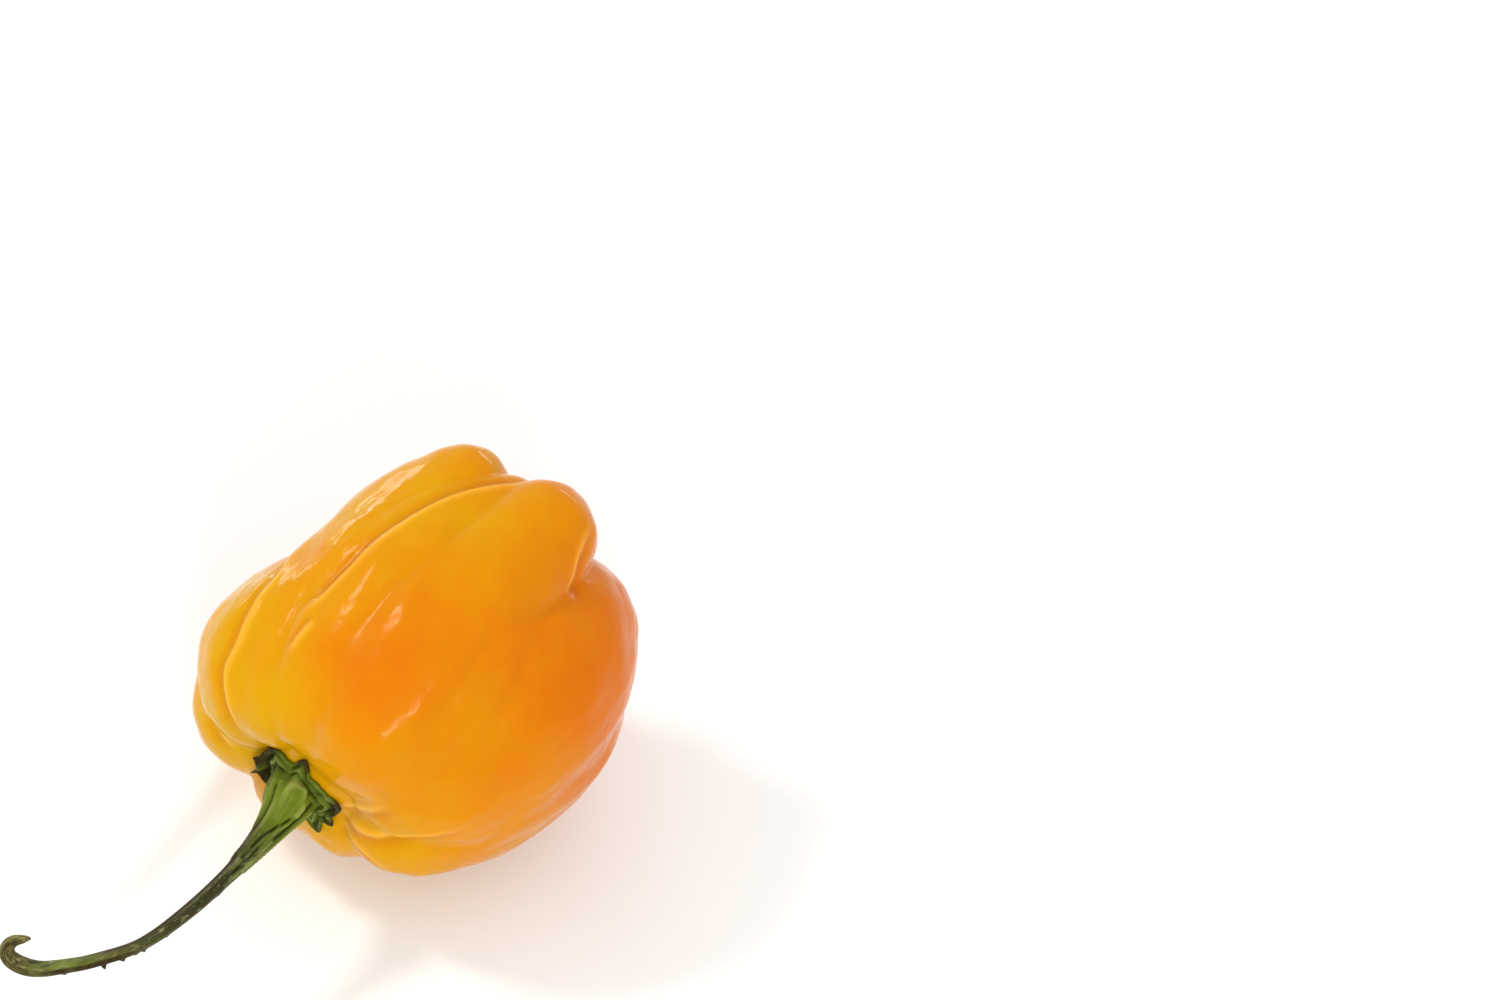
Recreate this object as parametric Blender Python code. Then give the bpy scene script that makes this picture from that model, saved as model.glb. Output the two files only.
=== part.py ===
"""A habanero pepper lying on its side: the pod, and the stalk that pulls off it.

The pod runs along X, from its calyx end at -X to its blossom end at +X, and rests on a small flat
spot under its belly. The origin is the middle of that spot and +Z is up. Sizes are in millimetres
in this file, and each finished mesh is scaled to metres.
"""
import math

import bmesh
import bpy
import numpy as np
from mathutils import Matrix, Vector

MM = 0.001
GAP = 0.3                        # clearance between the pod and the calyx that sits on it
SHARP_ANGLE = math.radians(50)   # an edge that bends more than this is shaded as an edge

# Pod, as a whole
POD_MIDDLE = (-0.3, 0.9, 18.3)     # its middle, over the flat spot that it rests on
POD_PITCH = math.radians(5)        # how far the blossom end is tipped up
POD_CORE = (17.3, 13.5)            # half length and half width of the plain core inside the lobes
CREASE = 4.0                       # per mm: the higher, the sharper the creases between lobes
BALL_STEP = 0.9                    # each lobe is a row of balls, this far apart
BALL_EDGE = 6.0                    # square mm: eases the step where a ball's edge is seen past it
BALL_RADIUS = 8.0                  # a usual one, which tells how far a row of balls adds up
POD_SEGMENTS = 80
POD_RINGS = 52

# Lobes of the pod. Each is a fat row of balls that runs from the shoulder beside the calyx, over the
# waist, to the blossom end, and has four measures at those three places: the angle round the pod's
# axis (0 is the top, 90 is +Y), the place along the axis, how high its crest stands off the axis,
# and the radius of its balls.
LOBES = {
    "top": ((2, 8, 349), (-11, 0, 13), (14.0, 18.7, 17.5), (6.5, 6, 5.5)),
    "top_front": ((332, 334, 334), (-9, 0, 14), (16.5, 20.0, 20.0), (9, 9, 5.5)),
    "front": ((308, 315, 318), (-9, 0, 8), (16.0, 20.0, 15.5), (8, 8, 7)),
    "front_belly": ((278, 287, 288), (-9, 1, 10), (16.0, 21.3, 18.5), (8, 13, 8)),
    "front_under": ((238, 242, 256), (-11, 0, 9), (16.0, 20.4, 17.5), (7, 10, 8)),
    "under": ((190, 186, 184), (-11, -1, 9), (14.0, 19.0, 16.5), (7, 10, 8)),
    "back_under": ((150, 144, 148), (-11.5, 0, 12), (15.0, 19.5, 16.5), (6.5, 9, 6)),
    "back_belly": ((105, 108, 112), (-11.5, -4, 8), (17.3, 20.0, 16.0), (6, 9, 8)),
    "back": ((76, 76, 75), (-12, -6, 4), (15.5, 19.0, 14.0), (5.5, 6.5, 7)),
    "back_top": ((45, 40, 16), (-12, 0, 14), (13.5, 18.6, 18.2), (5.5, 5, 5)),
}

# Calyx: the green cap on the pod's shoulder end. Its middle is a little off the pod's axis.
CALYX_PLACE = (-17.6, 1.5, -1.0)   # along the axis, towards +Y, and up, from the pod's middle
CALYX_REACH = 4.1                  # from its middle to its edge, between the teeth
CALYX_TEETH = (                    # angle round it, how far the tooth stands out, its half width
    (45, 1.2, 28),
    (78, 1.3, 26),
    (110, 2.6, 20),
    (160, 1.2, 22),
    (210, 1.3, 20),
    (236, 1.1, 18),
    (278, 1.3, 22),
    (347, 1.9, 18),
)
# Its outline from the middle of its underside, round the edge and up to the stem's foot: how far
# out, as a share of the way to the edge, and how high off the pod's skin.
CALYX_OUTLINE = (
    (0.0, GAP),
    (0.4, GAP),
    (0.75, GAP),
    (1.0, GAP),
    (1.06, GAP + 0.25),
    (1.0, GAP + 0.6),
    (0.93, GAP + 0.55),
    (0.85, GAP + 0.85),
    (0.76, GAP + 0.75),
    (0.68, GAP + 1.0),
)

# Stem: the route of its middle from the calyx to its hooked end, measured along X, Y and Z from the
# pod's middle, and its radius there. The first points are its foot, which flares onto the calyx.
STEM_ROUTE = (
    (-18.8, 1.1, -1.8, 2.75),
    (-19.8, 0.9, -1.9, 2.5),
    (-21.2, 0.7, -2.1, 2.0),
    (-24.1, 0.6, -2.7, 1.35),
    (-28.7, 0.9, -3.5, 0.82),
    (-34.8, 2.1, -5.0, 0.72),
    (-39.3, 4.2, -6.9, 0.65),
    (-42.6, 7.3, -8.8, 0.65),
    (-44.4, 9.6, -9.8, 0.65),
    (-45.8, 11.6, -10.4, 0.75),
    (-46.5, 13.3, -10.6, 0.85),
    (-46.8, 14.8, -10.2, 0.8),
    (-46.5, 15.4, -9.3, 0.7),
    (-45.9, 15.1, -8.5, 0.55),
    (-45.3, 14.2, -8.0, 0.35),
    (-44.9, 13.7, -7.8, 0.15),
)
STEM_STEPS = 3      # rings from one route point to the next
STEM_RIBS = 5       # lengthwise ribs round the stem
RIB_HEIGHT = 0.09   # of the ribs, as a share of the radius
STALK_SEGMENTS = 32


def remove_everything():
    for thing in list(bpy.data.objects):
        bpy.data.objects.remove(thing, do_unlink=True)


def skin_material(name, colour, roughness):
    material = bpy.data.materials.new(name)
    material.use_nodes = True
    shader = material.node_tree.nodes["Principled BSDF"]
    shader.inputs["Base Color"].default_value = (*colour, 1.0)
    shader.inputs["Roughness"].default_value = roughness
    shader.inputs["Metallic"].default_value = 0.0
    return material


def through(values, share):
    """The smooth curve through three values, at 0 for the first, 0.5 for the middle, 1 for the last."""
    first, middle, last = values
    near_first = first * (2 * share - 1) * (share - 1)
    near_middle = middle * 4 * share * (1 - share)
    near_last = last * share * (2 * share - 1)
    return near_first + near_middle + near_last


def lobe_balls(angles, places, crests, radii):
    """The middles and radii of one lobe's balls."""
    count = int(abs(places[2] - places[0]) / BALL_STEP) + 2
    share = np.linspace(0, 1, count)
    angle = through(np.unwrap(np.radians(angles)), share)
    radius = through(radii, share)
    off_axis = through(crests, share) - radius
    middles = np.stack([through(places, share), off_axis * np.sin(angle), off_axis * np.cos(angle)], 1)
    return middles, radius


def pod_radius(directions):
    """How far the skin is from the pod's middle, along unit directions in the pod's own axes.

    The distances to the core and to all the balls are joined by a smooth maximum, so that each
    lobe stays round and two lobes meet in a crease.
    """
    across = directions[:, 1] ** 2 + directions[:, 2] ** 2
    core = 1 / np.sqrt((directions[:, 0] / POD_CORE[0]) ** 2 + across / POD_CORE[1] ** 2)
    total = np.exp(CREASE * core)
    spread = BALL_STEP / math.sqrt(2 * math.pi * BALL_RADIUS / CREASE)
    for lobe in LOBES.values():
        middles, radius = lobe_balls(*lobe)
        along = directions @ middles.T
        inside = along ** 2 - (middles ** 2).sum(1) + radius ** 2
        inside = (inside + np.hypot(inside, BALL_EDGE)) / 2
        reach = along + np.sqrt(inside)
        total += spread * np.exp(CREASE * reach).sum(1)
    return np.log(total) / CREASE


def pod_to_world():
    return Matrix.Translation(POD_MIDDLE) @ Matrix.Rotation(-POD_PITCH, 4, "Y")


def finish(bm, name, material):
    """Turn a mesh in millimetres into a smooth-shaded object in metres."""
    bmesh.ops.scale(bm, vec=(MM, MM, MM), verts=bm.verts)
    bmesh.ops.recalc_face_normals(bm, faces=bm.faces)
    mesh = bpy.data.meshes.new(name)
    bm.to_mesh(mesh)
    bm.free()
    mesh.shade_smooth()
    mesh.set_sharp_from_angle(angle=SHARP_ANGLE)
    mesh.materials.append(material)
    thing = bpy.data.objects.new(name, mesh)
    bpy.context.scene.collection.objects.link(thing)
    return thing


def make_pod():
    """A ball whose skin is moved out to the lobes, set down on its flat spot."""
    bm = bmesh.new()
    bmesh.ops.create_uvsphere(bm, u_segments=POD_SEGMENTS, v_segments=POD_RINGS, radius=1)
    around = np.array([vert.co for vert in bm.verts])
    directions = around[:, (2, 0, 1)]
    directions /= np.linalg.norm(directions, axis=1, keepdims=True)
    for vert, direction, radius in zip(bm.verts, directions, pod_radius(directions)):
        vert.co = Vector(direction) * radius
    bm.transform(pod_to_world())
    everything = bm.verts[:] + bm.edges[:] + bm.faces[:]
    floor = {"plane_co": (0, 0, 0), "plane_no": (0, 0, -1)}
    cut = bmesh.ops.bisect_plane(bm, geom=everything, clear_outer=True, **floor)
    rim = [part for part in cut["geom_cut"] if isinstance(part, bmesh.types.BMEdge)]
    bmesh.ops.contextual_create(bm, geom=rim)
    return finish(bm, "pod", skin_material("pod_skin", (0.90, 0.35, 0.01), 0.25))


def calyx_edge(angle):
    """How far the calyx reaches from its middle at an angle in degrees, with its teeth."""
    reach = CALYX_REACH
    for place, height, half_width in CALYX_TEETH:
        away = abs((angle - place + 180) % 360 - 180) / half_width
        reach += height * max(0, 1 - away)
    return reach


def calyx_ring(out, height, angles):
    """One ring of the calyx, which follows the pod's skin at a height."""
    aims = []
    for angle in angles:
        reach = out * calyx_edge(math.degrees(angle))
        side = CALYX_PLACE[1] + reach * math.sin(angle)
        up = CALYX_PLACE[2] + reach * math.cos(angle)
        aims.append((CALYX_PLACE[0], side, up))
    aims = np.array(aims)
    aims /= np.linalg.norm(aims, axis=1, keepdims=True)
    reach = pod_radius(aims) + height
    return [pod_to_world() @ Vector(aim * length) for aim, length in zip(aims, reach)]


def stem_curve():
    """Points along the stem's middle with their radii, on a smooth curve through its route."""
    pod_middle = Vector((*POD_MIDDLE, 0))
    route = [pod_middle + Vector(point) for point in STEM_ROUTE]
    route = [2 * route[0] - route[1]] + route + [2 * route[-1] - route[-2]]
    points = []
    for before, start, end, after in zip(route, route[1:], route[2:], route[3:]):
        for step in range(STEM_STEPS):
            t = step / STEM_STEPS
            bend = (2 * before - 5 * start + 4 * end - after) * t ** 2
            swing = (3 * start - before - 3 * end + after) * t ** 3
            points.append(start + 0.5 * ((end - before) * t + bend + swing))
    points.append(route[-2])
    return points


def stem_rings(angles):
    """Ribbed rings square to the stem's curve, each turned as little as possible from the last."""
    points = stem_curve()
    rings = []
    side = Vector((0, 1, 0))
    for index, point in enumerate(points):
        ahead = points[min(index + 1, len(points) - 1)]
        behind = points[max(index - 1, 0)]
        forward = (ahead - behind).xyz.normalized()
        side = (side - forward * side.dot(forward)).normalized()
        up = side.cross(forward)
        ring = []
        for angle in angles:
            radius = point.w * (1 + RIB_HEIGHT * math.cos(STEM_RIBS * angle))
            ring.append(point.xyz + radius * (side * math.sin(angle) + up * math.cos(angle)))
        rings.append(ring)
    return rings


def make_stalk():
    """A ball of rings: its first pole is under the calyx and its last is the stem's tip."""
    angles = [math.radians(90 - index * 360 / STALK_SEGMENTS) for index in range(STALK_SEGMENTS)]
    rings = [calyx_ring(out, height, angles) for out, height in CALYX_OUTLINE]
    rings += stem_rings(angles)
    last = len(rings) - 1
    bm = bmesh.new()
    bmesh.ops.create_uvsphere(bm, u_segments=STALK_SEGMENTS, v_segments=last, radius=1)
    for vert in bm.verts:
        ring = round(math.acos(max(-1, min(1, vert.co.z))) / math.pi * last)
        turn = math.atan2(vert.co.y, vert.co.x) if 0 < ring < last else 0
        place = round(turn / (2 * math.pi) * STALK_SEGMENTS) % STALK_SEGMENTS
        vert.co = rings[ring][place]
        if ring == last:
            vert.co = sum(rings[last], Vector()) / STALK_SEGMENTS
    return finish(bm, "stalk", skin_material("stalk_green", (0.10, 0.16, 0.02), 0.6))


remove_everything()
make_pod()
make_stalk()
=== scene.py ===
"""The looks of a ripe habanero pepper that lies on its side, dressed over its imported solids.

Sizes are in millimetres, and each finished mesh is scaled to metres. The pod runs along X, from its
calyx end at -X to its blossom end at +X, on a small flat spot at the origin, and +Z is up.
"""
import math

import bmesh
import bpy
import numpy as np
from mathutils import Matrix, Quaternion, Vector, noise


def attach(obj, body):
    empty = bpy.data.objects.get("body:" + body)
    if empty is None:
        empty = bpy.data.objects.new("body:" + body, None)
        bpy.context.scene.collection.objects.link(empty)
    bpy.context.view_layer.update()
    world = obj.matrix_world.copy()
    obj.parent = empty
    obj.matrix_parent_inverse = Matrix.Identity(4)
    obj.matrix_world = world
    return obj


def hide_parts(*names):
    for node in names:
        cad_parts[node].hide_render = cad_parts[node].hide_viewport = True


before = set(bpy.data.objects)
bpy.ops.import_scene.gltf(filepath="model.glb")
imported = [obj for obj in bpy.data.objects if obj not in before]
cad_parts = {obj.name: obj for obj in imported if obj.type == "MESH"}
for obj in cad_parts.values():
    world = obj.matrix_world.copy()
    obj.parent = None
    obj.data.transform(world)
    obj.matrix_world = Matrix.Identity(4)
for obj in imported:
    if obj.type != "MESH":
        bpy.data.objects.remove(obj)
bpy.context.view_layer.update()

MM = 0.001


# The pod: one hollow fruit of firm, thin flesh under a waxy skin. It grew in lobes that swell past
# each other, so where two of them meet the skin is tucked into a crease with a thin lip along one
# side; the crease is painted darker as shade, and the lip paler as a highlight. Nothing is fixed to it
# but the stalk, which grows on its shoulder.
POD_MIDDLE = (-0.3, 0.9, 18.3)     # its middle, over the flat spot that it rests on
POD_PITCH = math.radians(5)        # how far the blossom end is tipped up
POD_CORE = (17.3, 13.5)            # half length and half width of the plain core inside the lobes
CREASE = 7.0                       # per mm: the higher, the sharper the creases between lobes
BALL_STEP = 0.5                    # each lobe is a row of balls, this far apart
BALL_EDGE = 6.0                    # square mm: eases the step where a ball's edge is seen past it
BALL_RADIUS = 8.0                  # a usual one, which tells how far a row of balls adds up
POD_CUTS = 127                     # across each side of the cube that the skin is blown up from

# Each lobe runs from the shoulder over the waist to the blossom end. At those three places it has an
# angle round the pod's axis (0 is the top, 90 is +Y), a place along the axis, the height of its
# crest off the axis, and the radius of its balls.
LOBES = {
    "top": ((2, 8, 349), (-11, 0, 13), (14.0, 18.7, 17.5), (6.5, 6, 5.5)),
    "top_front": ((332, 334, 334), (-9, 0, 14), (16.5, 20.0, 20.0), (9, 9, 5.5)),
    "front": ((308, 315, 318), (-9, 0, 8), (16.0, 20.0, 15.5), (8, 8, 7)),
    "front_belly": ((278, 287, 288), (-9, 1, 10), (16.0, 21.3, 18.5), (8, 13, 8)),
    "front_under": ((238, 242, 256), (-11, 0, 9), (16.0, 20.4, 17.5), (7, 10, 8)),
    "under": ((190, 186, 184), (-11, -1, 9), (14.0, 19.0, 16.5), (7, 10, 8)),
    "back_under": ((150, 144, 148), (-11.5, 0, 12), (15.0, 19.5, 16.5), (6.5, 9, 6)),
    "back_belly": ((105, 108, 112), (-11.5, -4, 8), (17.3, 20.0, 16.0), (6, 9, 8)),
    "back": ((76, 76, 75), (-12, -6, 4), (15.5, 19.0, 14.0), (5.5, 6.5, 7)),
    "back_top": ((45, 40, 16), (-12, 0, 14), (13.5, 18.6, 18.2), (5.5, 5, 5)),
}

# Each fold is a route on the skin, in degrees from the calyx end and degrees round the axis, with
# its depth, how far its tucked side reaches, how high its lip stands, and the share of the route over
# which each end runs out. The lip is on the left.
FOLDS = {
    "crown": (
        ((140, 346), (130, 356), (118, 5), (106, 10), (94, 14), (81, 18), (71, 22), (61, 29)),
        0.35, 0.8, 0.14, 0.18,
    ),
    "crown_end": (((64, 19), (58, 22), (50, 26)), 0.10, 0.4, 0.14, 0.3),
    "back_top": (
        ((90, 53), (77, 46), (64, 47), (53, 49), (44, 54), (36, 56), (29, 63), (22, 78)),
        0.25, 0.6, 0.14, 0.25,
    ),
    "back": (((50, 71), (44, 79), (38, 88), (33, 94), (28, 100)), 0.25, 0.6, 0.14, 0.3),
    "cleft": (((116, 314), (121, 316), (126, 321), (134, 325)), 0.4, 0.8, 0.14, 0.4),
    "shoulder": (((10, 246), (16, 262), (25, 282), (34, 292)), 0.12, 0.6, 0.06, 0.3),
    "belly": (
        ((14, 224), (18, 236), (24, 252), (33, 264), (42, 270), (54, 273)),
        0.28, 0.7, 0.12, 0.25,
    ),
    "under": (((16, 214), (21, 224), (26, 233), (34, 236)), 0.25, 0.6, 0.12, 0.3),
    "bottom": (((24, 166), (50, 165), (80, 163), (112, 166)), 0.4, 1.3, 0.10, 0.3),
    "rear": (((146, 132), (118, 128), (88, 124), (58, 126), (32, 128)), 0.4, 1.3, 0.12, 0.3),
}
# Where two lobes have grown together, the skin between them is fuller, and in other places it is a
# little flatter than the lobes are. Each such band is a route, how much it rises, and its half width.
BANDS = (
    (((60, 354), (78, 354), (92, 355), (108, 356), (130, 351)), 0.55, 2.4),
    (((14, 66), (28, 60), (44, 55), (60, 53), (76, 54), (92, 62)), 1.6, 4.0),
    (((14, 32), (26, 27), (45, 26), (62, 27), (82, 25)), 0.85, 2.4),
    (((144, 358), (132, 1), (120, 8), (106, 16), (91, 24), (78, 27), (64, 29), (52, 32)), 0.7, 2.6),
    (((54, 92), (74, 88), (96, 84)), 0.5, 2.5),
    (((8, 20), (22, 4), (34, 357), (50, 354), (76, 354)), -0.45, 1.7),
    (((44, 260), (66, 258), (90, 257), (116, 258)), 0.4, 2.0),
    (((76, 240), (98, 249), (114, 257), (134, 264)), 0.7, 3.6),
    (((124, 262), (143, 284), (160, 306)), 0.5, 5.0),
    (((26, 208), (47, 219), (70, 232)), -1.0, 4.0),
    (((70, 38), (95, 43), (122, 42)), -0.8, 3.0),
    (((104, 36), (134, 28), (160, 24)), -0.6, 4.5),
    (((26, 100), (45, 94), (64, 88)), 0.5, 3.5),
)
# Along these routes the lobes have no crease between them: each is a route and its half width.
EVENED = (
    (((150, 14), (132, 18), (118, 24), (104, 29), (90, 30), (75, 31), (60, 32), (44, 34)), 4.5),
    (((16, 70), (32, 62), (48, 56), (64, 52), (80, 52), (96, 60)), 4.0),
    (((40, 264), (60, 260), (86, 257), (112, 259), (136, 264)), 4.5),
)
EVEN_TURNS = np.radians((-12, -8, -4, 0, 4, 8, 12))   # there the skin is averaged over these turns
EVEN_WEIGHTS = (0.05, 0.13, 0.20, 0.24, 0.20, 0.13, 0.05)
EVEN_LEAST = 0.01   # the least share of evening that is worked out
BAND_FADE = 0.4     # share of the route over which a band's ends run out
LIP_WALL = 0.4      # how far the lip's side of a fold takes to rise out of it
LIP_PLACE = 0.65    # the lip's crest, from the fold's line
LIP_WIDTH = 0.4
ROUTE_STEPS = 14    # points from one route point to the next
ROUTE_REACH = 12    # no route shapes the skin further from it than this

SWELL = (0.28, 6.5)          # broad unevenness of the skin: its height, and its size across
DENTS = (                    # small dents: height, size across, and how much longer they are along
    (0.14, 2.1, 1.7),
    (0.035, 1.0, 1.5),
)
SCAR_DIMPLE = (1.3, 3.2)     # the blossom end's dimple: its depth and its radius
SCAR_EDGE = (0.2, 0.9)       # the scar in it fades out from one radius to the other
SCAR_RAGGED = (0.5, 0.6)     # how uneven the scar's edge is, and the size of that across


def curve_through(points, steps):
    """Points on a smooth curve through the given ones, with so many steps to each span."""
    points = np.array(points, float)
    route = np.vstack([2 * points[0] - points[1], points, 2 * points[-1] - points[-2]])
    t = (np.arange(steps) / steps)[:, None]
    spans = []
    for before, start, end, after in zip(route, route[1:], route[2:], route[3:]):
        bend = (2 * before - 5 * start + 4 * end - after) * t ** 2
        swing = (3 * start - before - 3 * end + after) * t ** 3
        spans.append(start + 0.5 * ((end - before) * t + bend + swing))
    return np.vstack([*spans, points[-1:]])


def ease(value, low, high):
    """0 below low, 1 above high, and a smooth rise between them."""
    share = np.clip((value - low) / (high - low), 0, 1)
    return share * share * (3 - 2 * share)


def through(values, share):
    """The smooth curve through three values, at 0 for the first, 0.5 for the middle, 1 for the last."""
    first, middle, last = values
    near_first = first * (2 * share - 1) * (share - 1)
    near_middle = middle * 4 * share * (1 - share)
    near_last = last * share * (2 * share - 1)
    return near_first + near_middle + near_last


def lobe_balls(angles, places, crests, radii):
    """The middles and radii of one lobe's balls."""
    count = int(abs(places[2] - places[0]) / BALL_STEP) + 2
    share = np.linspace(0, 1, count)
    angle = through(np.unwrap(np.radians(angles)), share)
    radius = through(radii, share)
    off_axis = through(crests, share) - radius
    middles = np.stack([through(places, share), off_axis * np.sin(angle), off_axis * np.cos(angle)], 1)
    return middles, radius


def lobed_radius(directions):
    """How far the lobes' skin is from the pod's middle, along unit directions in the pod's own axes."""
    across = directions[:, 1] ** 2 + directions[:, 2] ** 2
    core = 1 / np.sqrt((directions[:, 0] / POD_CORE[0]) ** 2 + across / POD_CORE[1] ** 2)
    total = np.exp(CREASE * core)
    spread = BALL_STEP / math.sqrt(2 * math.pi * BALL_RADIUS / CREASE)
    for lobe in LOBES.values():
        middles, radius = lobe_balls(*lobe)
        along = directions @ middles.T
        inside = along ** 2 - (middles ** 2).sum(1) + radius ** 2
        inside = (inside + np.hypot(inside, BALL_EDGE)) / 2
        reach = along + np.sqrt(inside)
        total += spread * np.exp(CREASE * reach).sum(1)
    return np.log(total) / CREASE


def directions_at(from_calyx, around):
    """Unit directions in the pod's axes, from angles in radians."""
    across = np.sin(from_calyx)
    return np.stack([-np.cos(from_calyx), across * np.sin(around), across * np.cos(around)], 1)


def beside_route(skin, route, fade):
    """How far left of a route each point of the skin is, and 1 along the route, fading at its ends."""
    turns = np.radians(route)
    turns[:, 1] = np.unwrap(turns[:, 1])
    aims = curve_through(directions_at(*turns.T), ROUTE_STEPS)
    aims /= np.linalg.norm(aims, axis=1, keepdims=True)
    line = aims * lobed_radius(aims)[:, None]
    forward = np.gradient(line, axis=0)
    spacing = np.linalg.norm(forward, axis=1)
    forward /= spacing[:, None]
    left = np.cross(aims, forward)
    left /= np.linalg.norm(left, axis=1, keepdims=True)
    nearest = ((line ** 2).sum(1) - 2 * skin @ line.T).argmin(1)
    offset = skin - line[nearest]
    away = (offset * left[nearest]).sum(1)
    steps_on = (offset * forward[nearest]).sum(1) / spacing[nearest]
    share = (nearest + steps_on) / (len(line) - 1)
    strength = ease(share, 0, fade) * (1 - ease(share, 1 - fade, 1))
    return away, strength * (np.linalg.norm(offset, axis=1) < ROUTE_REACH)


def evened_radius(directions):
    """The lobes' skin averaged round the axis, which takes the creases out of it."""
    along, side, up = directions.T
    total = 0
    for turn, weight in zip(EVEN_TURNS, EVEN_WEIGHTS):
        turned_side = side * math.cos(turn) + up * math.sin(turn)
        turned_up = up * math.cos(turn) - side * math.sin(turn)
        total = total + weight * lobed_radius(np.stack([along, turned_side, turned_up], 1))
    return total


def fold_heights(skin, route, depth, tuck, lip, fade):
    """What one fold adds to the skin at each point, and how much of its valley and lip lies there."""
    away, strength = beside_route(skin, route, fade)
    width = np.where(away < 0, tuck, LIP_WALL)
    valley = strength * np.exp(-(away / width) ** 2)
    crest = strength * np.exp(-((away - LIP_PLACE) / LIP_WIDTH) ** 2)
    return lip * crest - depth * valley, valley, crest


def noise_at(points):
    return np.array([noise.noise(Vector(point)) for point in points])


def pod_skin(directions):
    """The skin's distance from the pod's middle, with its folds, dents and blossom dimple."""
    radius = lobed_radius(directions)
    skin = directions * radius[:, None]
    valley = np.zeros(len(skin))
    crest = np.zeros(len(skin))
    for route, half_width in EVENED:
        away, strength = beside_route(skin, route, BAND_FADE)
        share = strength * np.exp(-(away / half_width) ** 4)
        near = share > EVEN_LEAST
        if near.any():
            radius[near] += share[near] * (evened_radius(directions[near]) - radius[near])
    for route, rise, half_width in BANDS:
        away, strength = beside_route(skin, route, BAND_FADE)
        radius = radius + rise * strength * np.exp(-(away / half_width) ** 2)
    for fold in FOLDS.values():
        height, fold_shade_mask, lip_highlight_mask = fold_heights(skin, *fold)
        radius = radius + height
        valley = np.maximum(valley, fold_shade_mask)
        crest = np.maximum(crest, lip_highlight_mask)
    radius = radius + SWELL[0] * noise_at(skin / SWELL[1])
    for height, size, longer in DENTS:
        radius = radius + height * noise_at(skin / (size * longer, size, size))
    off_axis = np.hypot(skin[:, 1], skin[:, 2])
    at_scar = np.where(directions[:, 0] > 0, np.exp(-(off_axis / SCAR_DIMPLE[1]) ** 2), 0)
    return radius - SCAR_DIMPLE[0] * at_scar, valley, crest


POD_TO_WORLD = Matrix.Translation(POD_MIDDLE) @ Matrix.Rotation(-POD_PITCH, 4, "Y")


def add_piece(bm, name):
    """Turn a mesh in millimetres into a smooth piece in metres that rides on the part."""
    bmesh.ops.scale(bm, vec=(MM, MM, MM), verts=bm.verts)
    bmesh.ops.recalc_face_normals(bm, faces=bm.faces)
    mesh = bpy.data.meshes.new(name)
    bm.to_mesh(mesh)
    bm.free()
    mesh.shade_smooth()
    piece = bpy.data.objects.new(name, mesh)
    bpy.context.scene.collection.objects.link(piece)
    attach(piece, "root")
    return piece


def keep_values(piece, name, values):
    """Store one number for each point of a piece, for its material to read."""
    attribute = piece.data.attributes.new(name, "FLOAT", "POINT")
    attribute.data.foreach_set("value", np.asarray(values, np.float32))


pod_bm = bmesh.new()
bmesh.ops.create_cube(pod_bm, size=2)
bmesh.ops.subdivide_edges(pod_bm, edges=pod_bm.edges[:], cuts=POD_CUTS, use_grid_fill=True)
pod_aims = np.tan(np.array([vert.co for vert in pod_bm.verts]) * math.pi / 4)
pod_aims /= np.linalg.norm(pod_aims, axis=1, keepdims=True)
pod_reach, pod_fold_shade, pod_lip_highlight = pod_skin(pod_aims)
for vert, aim, reach in zip(pod_bm.verts, pod_aims, pod_reach):
    place = POD_TO_WORLD @ Vector(aim * reach)
    place.z = max(place.z, 0)      # the soft skin flattens where it meets the surface
    vert.co = place
pod = add_piece(pod_bm, "pod_skin")
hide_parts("pod")
# painted shade: how much of a fold's valley lies at each point, for the skin's colour to darken
keep_values(pod, "valley", pod_fold_shade)
# painted highlight: how much of a fold's lip lies at each point, for the skin's colour to pale
keep_values(pod, "crest", pod_lip_highlight)

# Ripeness: the shoulder ripens last, so it is still yellow, and the blossom end is deep orange. The
# side at -Y is riper than the side at +Y, and there are riper and paler patches.
RIPE_MIDDLE = 0.5    # how ripe its middle is, on a scale that the skin's colours follow
RIPE_ALONG = 0.26    # how much riper the blossom end is
RIPE_ACROSS = 0.18   # how much riper the side at -Y is
RIPE_PATCHES = (     # degrees from the calyx end and round the axis, size in degrees, how much riper
    (60, 350, 24, 0.40),
    (100, 290, 34, 0.22),
    (120, 20, 34, -0.25),
    (122, 338, 24, -0.18),
    (50, 240, 34, -0.12),
    (80, 130, 36, 0.20),
    (120, 180, 40, -0.20),
)
ripe_along = pod_aims[:, 0] * pod_reach / POD_CORE[0]
ripe_across = -pod_aims[:, 1] * pod_reach / POD_CORE[0]
ripeness = RIPE_MIDDLE + RIPE_ALONG * ripe_along + RIPE_ACROSS * ripe_across
for from_calyx, around, size, riper in RIPE_PATCHES:
    middle = directions_at(np.radians([from_calyx]), np.radians([around]))[0]
    turned_away = np.degrees(np.arccos(np.clip(pod_aims @ middle, -1, 1)))
    ripeness += riper * np.exp(-(turned_away / size) ** 2)
keep_values(pod, "ripeness", ripeness)
off_axis = pod_reach * np.hypot(pod_aims[:, 1], pod_aims[:, 2])
from_scar = off_axis + SCAR_RAGGED[0] * noise_at(pod_aims * pod_reach[:, None] / SCAR_RAGGED[1])
keep_values(pod, "scar", np.where(pod_aims[:, 0] > 0, 1 - ease(from_scar, *SCAR_EDGE), 0))


def linear(code):
    """An sRGB hex colour as linear red, green, blue and alpha."""
    parts = [int(code[start:start + 2], 16) / 255 for start in (1, 3, 5)]
    return (*[((part + 0.055) / 1.055) ** 2.4 for part in parts], 1.0)


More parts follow.
